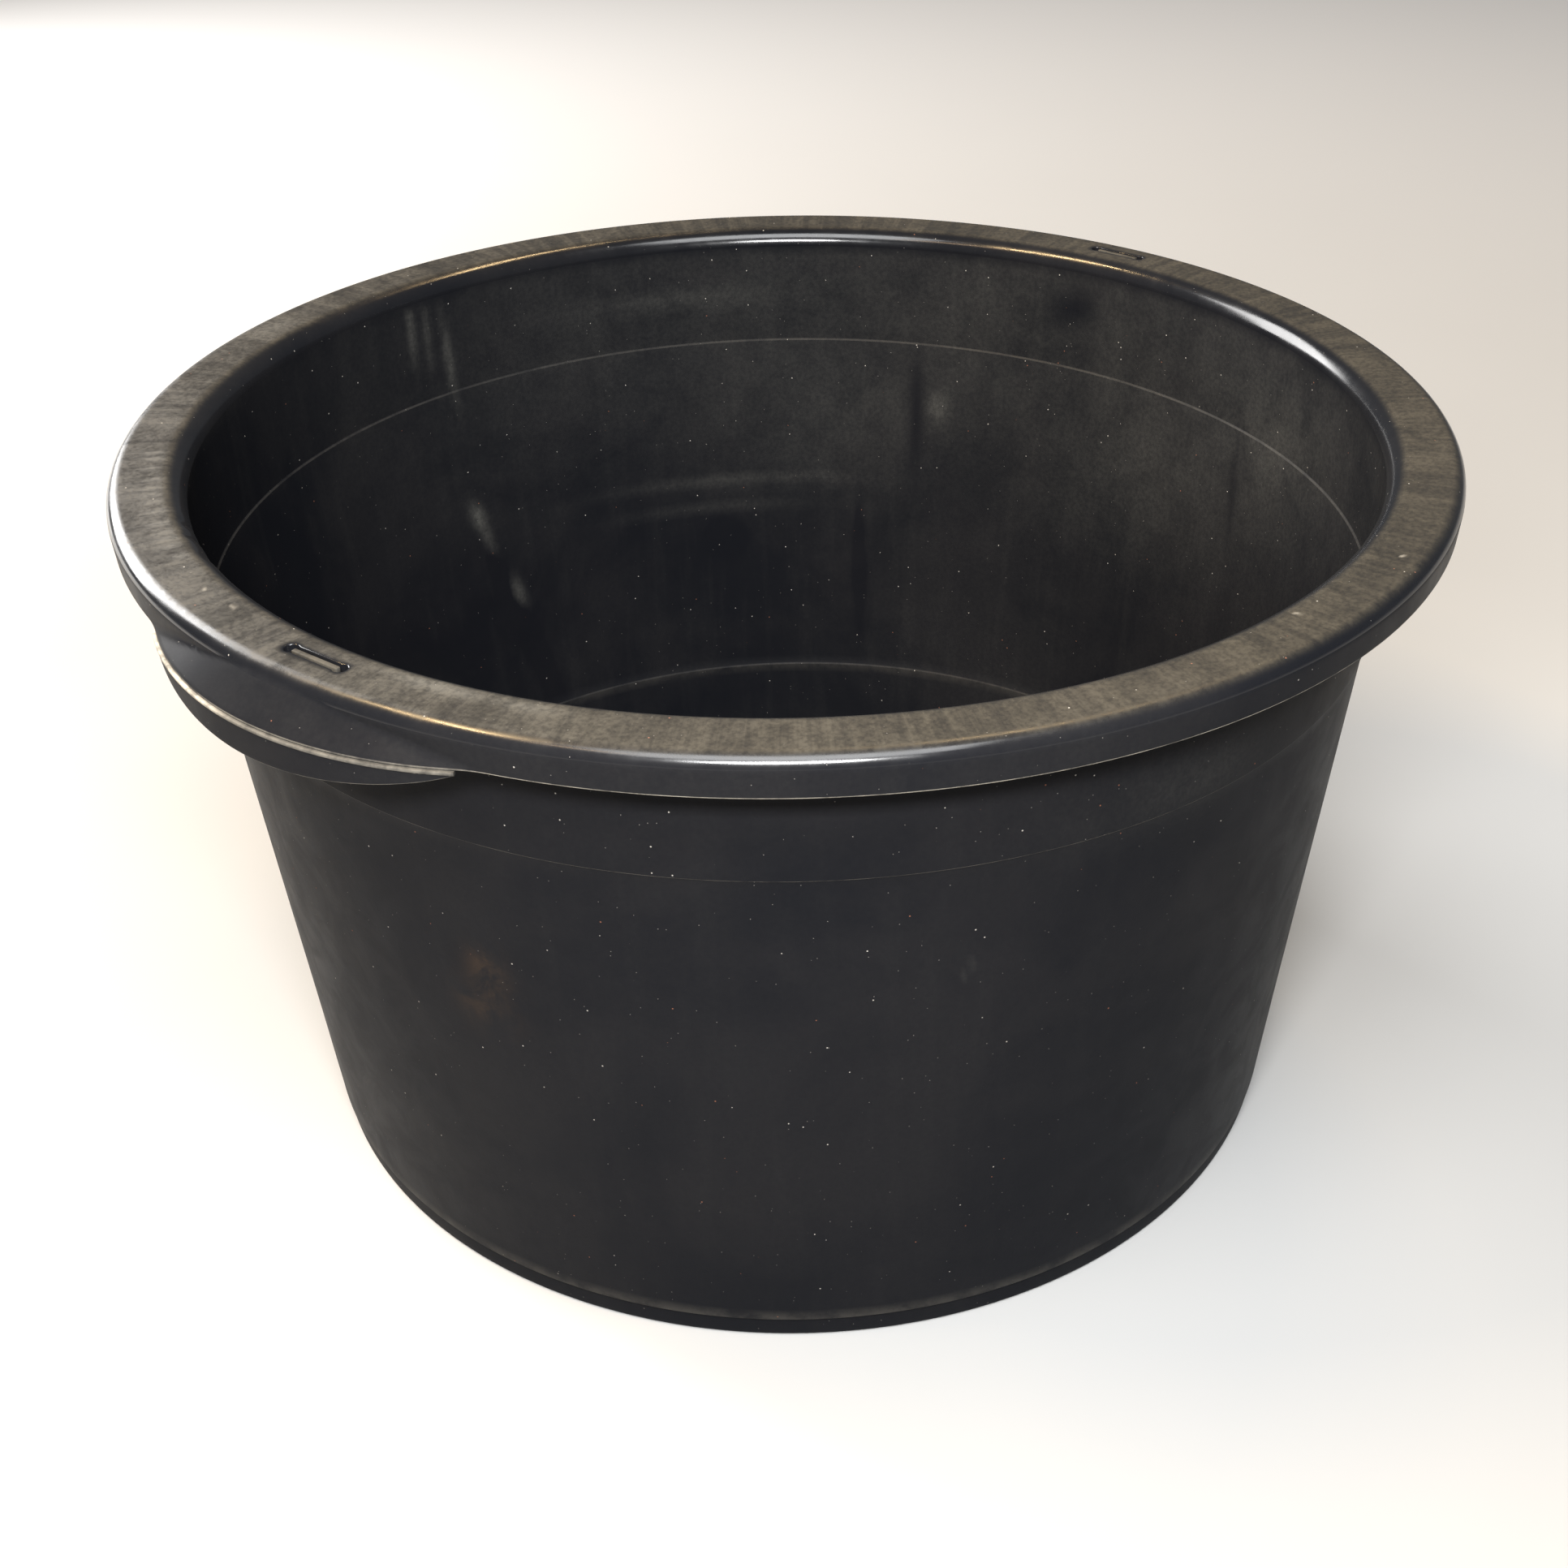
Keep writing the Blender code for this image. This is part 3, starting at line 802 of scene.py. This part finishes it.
def upright_plate(name, half_length, low, high, edge, turn):
    """Thin upright plate in a slot's place."""
    near = SLOT_CENTRE - TAB / 2
    far = SLOT_CENTRE + TAB / 2
    outline = [(near, -half_length), (far, -half_length), (far, half_length), (near, half_length)]
    plate = slab(name, outline, low, high, edge)
    plate.data.transform(Matrix.Rotation(turn, 4, "Z"))
    return plate


def build_insert(name, node, turn, slot_turn, material):
    """One grip insert. It is made over +X and then turned to its side of the tub."""
    apron = build_apron()
    web = slab("web", web_outline(), LEDGE_TOP - WEB, LEDGE_TOP - WEB_SINK, WEB_EDGE)
    low = LEDGE_TOP - WEB / 2
    high = FLANGE_UNDERSIDE - GAP
    stop = upright_plate("stop", TAB_SHOULDER_HALF_WIDTH, low, high, STOP_EDGE, slot_turn)
    low = FLANGE_UNDERSIDE - FLANGE
    high = HEIGHT - TAB_BELOW_RIM
    tab = upright_plate("tab", TAB_HALF_WIDTH, low, high, TAB_EDGE, slot_turn)
    mesh = join_solids(apron, [web, stop, tab])
    mesh.name = name
    mesh.materials.clear()
    mesh.materials.append(material)
    points = np.zeros(len(mesh.vertices) * 3)
    mesh.vertices.foreach_get("co", points)
    for layer_name, values in insert_masks(points.reshape(-1, 3)).items():
        add_mask(mesh, layer_name, values)
    mesh.transform(Matrix.Rotation(turn, 4, "Z"))
    grip = bpy.data.objects.new(name, mesh)
    bpy.context.scene.collection.objects.link(grip)
    finish(grip, node)


def insert_masks(points):
    """Dust, rubbing and painted highlights on an insert over +X."""
    x, y, z = points.T
    from_axis = np.hypot(x - LOBE_AXIS, y)
    # the ledge's pale line, brighter towards -Y, and the apron's lower edge are rubbing and
    # painted highlight
    rubbed_and_highlit = (from_axis > LOBE_RADIUS + LEDGE_OUT * 0.30) & (z > LEDGE_BOTTOM - 0.0001)
    ledge_wear_and_highlight = INSERT_LEDGE_WEAR_AND_HIGHLIGHT + INSERT_END_WEAR_AND_HIGHLIGHT * smooth_step(-0.005, -0.035, y)
    across = np.clip(np.abs(y) / INSERT_HALF_WIDTH, 0, 1)
    bottom = LEDGE_BOTTOM - APRON_DEPTH * (1 - across * across) ** ARCH_POWER
    tip = (z < bottom + APRON_TIP_REACH) & (from_axis > LOBE_RADIUS - APRON / 2)
    tab_top = (z > HEIGHT - TAB_TOP_REACH) & (np.abs(np.hypot(x, y) - SLOT_CENTRE) < TAB)
    wear_and_highlight = np.where(rubbed_and_highlit, ledge_wear_and_highlight, 0.0)
    wear_and_highlight = wear_and_highlight + np.where(tip, INSERT_TIP_WEAR_AND_HIGHLIGHT, 0.0)
    wear_and_highlight = wear_and_highlight + np.where(tab_top, TAB_TOP_WEAR, 0.0)
    return {
        "wear_and_highlight": wear_and_highlight,
        "dust": np.where(tab_top, TAB_TOP_DUST, 0.0),
        "mark": np.zeros_like(x),
        "rust": np.zeros_like(x),
    }


# ---- materials ----
class Nodes:
    """Short ways to add and link shader nodes."""

    def __init__(self, name):
        self.material = bpy.data.materials.new(name)
        self.material.use_nodes = True
        self.tree = self.material.node_tree
        self.tree.nodes.clear()

    def add(self, kind, inputs=None, **settings):
        """Add a node, set its settings and fill or link its inputs."""
        node = self.tree.nodes.new(kind)
        for key, value in settings.items():
            setattr(node, key, value)
        for key, value in (inputs or {}).items():
            self.feed(node.inputs[key], value)
        return node

    def feed(self, socket, value):
        """Link a socket to another node's output, or set its value."""
        if isinstance(value, bpy.types.NodeSocket):
            self.tree.links.new(value, socket)
        else:
            socket.default_value = value

    def math(self, operation, a, b=0.0, clamp=False):
        node = self.add("ShaderNodeMath", {0: a, 1: b}, operation=operation, use_clamp=clamp)
        return node.outputs[0]

    def times(self, a, b):
        return self.math("MULTIPLY", a, b)

    def plus(self, a, b, clamp=False):
        return self.math("ADD", a, b, clamp)

    def scaled(self, vector, scale):
        node = self.add("ShaderNodeVectorMath", {0: vector, 1: scale}, operation="MULTIPLY")
        return node.outputs[0]

    def noise(self, vector, scale, detail=4.0, roughness=0.55, distortion=0.0):
        inputs = {
            "Vector": vector,
            "Scale": scale,
            "Detail": detail,
            "Roughness": roughness,
            "Distortion": distortion,
        }
        return self.add("ShaderNodeTexNoise", inputs).outputs["Fac"]

    def ramp(self, value, low, high, to_low=0.0, to_high=1.0):
        """Ease from to_low to to_high while value goes from low to high."""
        inputs = {
            "Value": value,
            "From Min": low,
            "From Max": high,
            "To Min": to_low,
            "To Max": to_high,
        }
        node = self.add("ShaderNodeMapRange", inputs, interpolation_type="SMOOTHSTEP")
        return node.outputs["Result"]

    def mix(self, factor, a, b):
        node = self.add("ShaderNodeMix", data_type="RGBA")
        self.feed(node.inputs[0], factor)
        self.feed(node.inputs[6], a)
        self.feed(node.inputs[7], b)
        return node.outputs[2]

    def layer(self, name):
        """A mask stored on the mesh."""
        return self.add("ShaderNodeAttribute", attribute_name=name).outputs["Fac"]

    def specks(self, vector, scale, size, share):
        """Scattered round grains: size is a share of a cell, share is how many cells hold one."""
        inputs = {"Vector": vector, "Scale": scale, "Randomness": 1.0}
        cells = self.add("ShaderNodeTexVoronoi", inputs, feature="F1")
        near = self.ramp(cells.outputs["Distance"], size, size * 0.5)
        pick = self.add("ShaderNodeSeparateColor", {0: cells.outputs["Color"]})
        chosen = self.math("GREATER_THAN", pick.outputs[0], 1.0 - share)
        return self.times(near, chosen), pick.outputs[1]

    def surface(self, shader):
        """Put the shader on the surface and give the finished material."""
        output = self.add("ShaderNodeOutputMaterial")
        self.tree.links.new(shader.outputs["BSDF"], output.inputs["Surface"])
        return self.material


# how much of the plastic's colour each layer covers where it is thickest
FILM_COVER = 0.42
DUST_COVER = 0.45
GRAIN_COVER = 0.55
DOT_COVER = 0.25
RELIEF_DEPTH = 0.0004
REFRACTION = 1.50
SHEEN_ROUGHNESS = 0.45

BLACK = (0.0057, 0.0062, 0.0081, 1.0)
SOFT_BLACK = (0.0080, 0.0081, 0.0097, 1.0)
FLANGE_DUST = (0.094, 0.082, 0.058, 1.0)
# the film's colour; on the inner wall it also carries painted light
WALL_DUST_AND_LIGHT = (0.120, 0.117, 0.104, 1.0)
# pale colour of rubbed edges, also used for painted highlights
RUBBED_AND_HIGHLIT = (0.420, 0.385, 0.320, 1.0)
BROWN = (0.085, 0.050, 0.026, 1.0)
GRAIN_PALE = (0.62, 0.58, 0.52, 1.0)
GRAIN_RED = (0.30, 0.12, 0.07, 1.0)


def dried_film(n, place, patterns, low, high, streak):
    """Film on the walls: cloudy, with faint downward streaks, the marks of use and, on the inner
    wall, painted light and shade.
    """
    clouds, mottle, fine = patterns
    streaks = n.noise(n.scaled(place, (95.0, 95.0, 3.2)), 1.0, 4.0, 0.6)
    film = n.ramp(clouds, 0.36, 0.68, low, high)
    film = n.plus(film, n.ramp(streaks, 0.45, 0.75, 0.0, streak))
    film = n.times(film, n.ramp(mottle, 0.25, 0.70, 0.80, 1.10))
    # the mark layer also brings in the painted light and shade of the inner wall
    film = n.plus(film, n.times(n.layer("mark"), n.ramp(mottle, 0.30, 0.62, 0.60, 1.10)))
    film = n.times(film, n.ramp(fine, 0.30, 0.70, 0.70, 1.30))
    film = n.math("MAXIMUM", film, 0.0)
    return n.math("MINIMUM", film, 1.0)


def lying_dust(n, place, patterns):
    """Thicker dust on what faces up, drawn out along the tub's spokes."""
    _, mottle, fine = patterns
    flat = n.scaled(place, (1.0, 1.0, 0.0))
    heading = n.add("ShaderNodeVectorMath", {0: flat}, operation="NORMALIZE").outputs[0]
    spokes = n.noise(n.scaled(heading, (42.0, 42.0, 42.0)), 1.0, 5.0, 0.7)
    lying = n.times(n.layer("dust"), n.ramp(mottle, 0.28, 0.66, 0.66, 1.0))
    lying = n.times(lying, n.ramp(spokes, 0.30, 0.70, 0.60, 1.10))
    lying = n.times(lying, n.ramp(fine, 0.30, 0.65, 0.65, 1.1))
    return n.math("MINIMUM", lying, 1.0)


def moulded_plastic(name, film_low, film_high, streak, roughness, specular, grain, sheen=0.0):
    """Black recycled polyethylene with a film of building dust, worn edges, painted highlights
    and grains.

    film_low and film_high are the least and most dust that clings to a wall, and streak is how
    much of it runs down in lines. grain is how strongly the fine relief shows.
    """
    n = Nodes(name)
    place = n.add("ShaderNodeTexCoord").outputs["Object"]
    clouds = n.noise(place, 7.0, 6.0, 0.62, 0.4)
    mottle = n.noise(place, 38.0, 5.0, 0.65, 0.6)
    fine = n.noise(place, 420.0, 3.0, 0.7)
    patterns = (clouds, mottle, fine)
    film = dried_film(n, place, patterns, film_low, film_high, streak)
    lying = lying_dust(n, place, patterns)
    # pale edge lines: rubbing and painted highlights
    rubbed_and_highlit = n.ramp(n.noise(place, 60.0, 4.0, 0.7), 0.30, 0.62, 0.12, 0.85)
    rubbed_and_highlit = n.times(n.layer("wear_and_highlight"), rubbed_and_highlit)
    grains, tone = n.specks(place, 260.0, 0.12, 0.070)
    dots, _ = n.specks(place, 620.0, 0.16, 0.030)

    colour = n.mix(n.ramp(clouds, 0.35, 0.65), BLACK, SOFT_BLACK)
    # film: dust, and on the inner wall painted light and shade
    colour = n.mix(n.times(film, FILM_COVER), colour, WALL_DUST_AND_LIGHT)
    colour = n.mix(n.times(lying, DUST_COVER), colour, FLANGE_DUST)
    colour = n.mix(n.times(n.layer("rust"), n.ramp(mottle, 0.35, 0.65)), colour, BROWN)
    # painted highlights and rubbing on the edges, in one pale colour
    colour = n.mix(rubbed_and_highlit, colour, RUBBED_AND_HIGHLIT)
    grain_colour = n.mix(n.math("GREATER_THAN", tone, 0.72), GRAIN_PALE, GRAIN_RED)
    colour = n.mix(n.times(grains, GRAIN_COVER), colour, grain_colour)
    colour = n.mix(n.times(dots, DOT_COVER), colour, GRAIN_PALE)

    rough = n.ramp(mottle, 0.25, 0.75, roughness - 0.04, roughness + 0.06)
    rough = n.plus(rough, n.times(lying, 0.33))
    rough = n.plus(rough, n.times(film, 0.22))
    rough = n.plus(rough, n.times(n.plus(grains, rubbed_and_highlit, True), 0.25))
    rough = n.math("MINIMUM", rough, 0.95)

    relief = n.times(n.noise(place, 900.0, 2.0, 0.5), 0.22)
    relief = n.plus(relief, n.times(mottle, 0.30))
    relief = n.plus(relief, n.times(grains, 0.9))
    relief = n.plus(relief, n.times(lying, 0.25))
    inputs = {"Strength": grain, "Distance": RELIEF_DEPTH, "Height": relief}
    bump = n.add("ShaderNodeBump", inputs)

    shader = n.add("ShaderNodeBsdfPrincipled")
    n.feed(shader.inputs["Base Color"], colour)
    n.feed(shader.inputs["Roughness"], rough)
    n.feed(shader.inputs["Normal"], bump.outputs["Normal"])
    shader.inputs["IOR"].default_value = REFRACTION
    shader.inputs["Specular IOR Level"].default_value = specular
    shader.inputs["Sheen Weight"].default_value = sheen
    shader.inputs["Sheen Roughness"].default_value = SHEEN_ROUGHNESS
    return n.surface(shader)


def tub_materials():
    """The tub's materials, in the order of its surface zones."""
    return [
        moulded_plastic(
            "tub_inner_wall",
            film_low=0.025,
            film_high=0.09,
            streak=0.04,
            roughness=0.45,
            specular=0.05,
            grain=0.25,
        ),
        moulded_plastic(
            "tub_rim",
            film_low=0.01,
            film_high=0.05,
            streak=0.0,
            roughness=0.17,
            specular=0.46,
            grain=0.02,
            sheen=0.005,
        ),
        moulded_plastic(
            "tub_outer_wall",
            film_low=0.020,
            film_high=0.05,
            streak=0.02,
            roughness=0.45,
            specular=0.04,
            grain=0.30,
        ),
        moulded_plastic(
            "tub_skirt_face",
            film_low=0.03,
            film_high=0.08,
            streak=0.02,
            roughness=0.36,
            specular=0.04,
            grain=0.20,
        ),
    ]


def insert_material():
    """The same plastic, scuffed and without streaks."""
    return moulded_plastic(
        "insert_plastic_worn",
        film_low=0.01,
        film_high=0.07,
        streak=0.0,
        roughness=0.42,
        specular=0.05,
        grain=0.25,
    )


# ---- stage, light and camera ----
STAGE_REACH = 30.0
STAGE_GAP = 0.0002
STAGE_NEAR = (0.40, 0.40, 0.395, 1.0)
STAGE_NEAR_PALER = (0.42, 0.42, 0.415, 1.0)
# the far floor's colour is painted light
STAGE_FAR_PAINTED_LIGHT = (0.86, 0.86, 0.86, 1.0)

SKY = (0.84, 0.91, 1.0, 1.0)
SKY_STRENGTH = 0.11
DAYLIGHT = (1.0, 0.99, 0.98)
CEILING_LIGHT = (0.98, 0.99, 1.0)
WHITE_LIGHT = (1.0, 1.0, 1.0)
WARM_LIGHT = (1.0, 0.70, 0.36)
PALER_WARM_LIGHT = (1.0, 0.70, 0.42)
LIGHT_AIM = Vector((0.0, 0.0, 0.3))


def pale_floor():
    """Wide floor just under the tub, greyer near it and painted paler further out, where the
    lamps' light fades.
    """
    n = Nodes("pale_floor")
    place = n.add("ShaderNodeTexCoord").outputs["Object"]
    away = n.add("ShaderNodeVectorMath", {0: place}, operation="LENGTH").outputs["Value"]
    near = n.mix(n.noise(place, 3.0, 3.0), STAGE_NEAR, STAGE_NEAR_PALER)
    # painted light: the floor's colour grows paler away from the tub, standing in for lamp light
    # that fades there
    tone = n.mix(n.ramp(away, 0.7, 3.4), near, STAGE_FAR_PAINTED_LIGHT)
    shader = n.add("ShaderNodeBsdfPrincipled", {"Base Color": tone, "Roughness": 0.85})
    corners = [(-1, -1), (1, -1), (1, 1), (-1, 1)]
    vertices = [(x * STAGE_REACH, y * STAGE_REACH, 0.0) for x, y in corners]
    floor = new_object("studio_floor", vertices, [(0, 1, 2, 3)])
    floor.location.z = CAD_BOUNDS[0][2] - STAGE_GAP
    floor.data.materials.append(n.surface(shader))


def direction(heading, tilt):
    """Unit vector at an angle round the tub and an angle above the level, in radians."""
    level = math.cos(tilt)
    return Vector((math.cos(heading) * level, math.sin(heading) * level, math.sin(tilt)))


def soft_light(name, left_of_camera, elevation, distance, size, watts, colour):
    """A rectangular lamp aimed at the tub, with its angles in degrees."""
    away = direction(math.radians(FRONT - left_of_camera), math.radians(elevation))
    data = bpy.data.lights.new(name, "AREA")
    data.shape = "RECTANGLE"
    data.size, data.size_y = size
    data.energy = watts
    data.color = colour
    lamp = bpy.data.objects.new(name, data)
    lamp.location = LIGHT_AIM + away * distance
    lamp.rotation_euler = away.to_track_quat("Z", "Y").to_euler()
    bpy.context.scene.collection.objects.link(lamp)


def lighting():
    """A window behind on the left, a soft ceiling, a near lamp and three warm strips."""
    world = bpy.data.worlds.new("studio")
    bpy.context.scene.world = world
    world.use_nodes = True
    back = world.node_tree.nodes["Background"]
    back.inputs["Color"].default_value = SKY
    back.inputs["Strength"].default_value = SKY_STRENGTH
    soft_light("window_left", 127, 22, 2.8, (1.4, 1.6), 114, DAYLIGHT)
    soft_light("ceiling_front", 0, 62, 3.0, (2.2, 1.4), 104, CEILING_LIGHT)
    soft_light("lamp_over_camera", 0, 31, 1.105, (0.34, 0.10), 19, WHITE_LIGHT)
    soft_light("warm_left", 84, 57, 2.4, (0.95, 0.06), 40, WARM_LIGHT)
    soft_light("warm_right", -152, 62, 2.4, (0.6, 0.06), 12, WARM_LIGHT)
    soft_light("warm_front", 46, 52, 2.4, (0.8, 0.15), 4, PALER_WARM_LIGHT)


def camera():
    """The camera, placed and turned by the values at the top."""
    forward = direction(CAMERA_HEADING, CAMERA_TILT)
    level_right = forward.cross(Vector((0, 0, 1))).normalized()
    level_up = level_right.cross(forward)
    right = level_right * math.cos(CAMERA_ROLL) - level_up * math.sin(CAMERA_ROLL)
    up = level_right * math.sin(CAMERA_ROLL) + level_up * math.cos(CAMERA_ROLL)
    data = bpy.data.cameras.new("camera")
    data.lens = CAMERA_LENS
    data.sensor_width = CAMERA_SENSOR
    data.shift_x, data.shift_y = CAMERA_SHIFT
    data.clip_start = 0.01
    view = bpy.data.objects.new("camera", data)
    turn = Matrix((right, up, -forward)).transposed()
    view.matrix_world = Matrix.Translation(CAMERA_PLACE) @ turn.to_4x4()
    bpy.context.scene.collection.objects.link(view)
    bpy.context.scene.camera = view


def main():
    """Build the three pieces, the stage, the lights and the camera."""
    scene = bpy.context.scene
    scene.view_settings.view_transform = "Standard"
    scene.view_settings.look = "None"
    build_tub(tub_materials())
    insert = insert_material()
    build_insert("grip_left", "grip_insert_left", math.pi, SLOT_TURN_LEFT, insert)
    build_insert("grip_right", "grip_insert_right", 0.0, SLOT_TURN_RIGHT, insert)
    pale_floor()
    lighting()
    camera()


main()
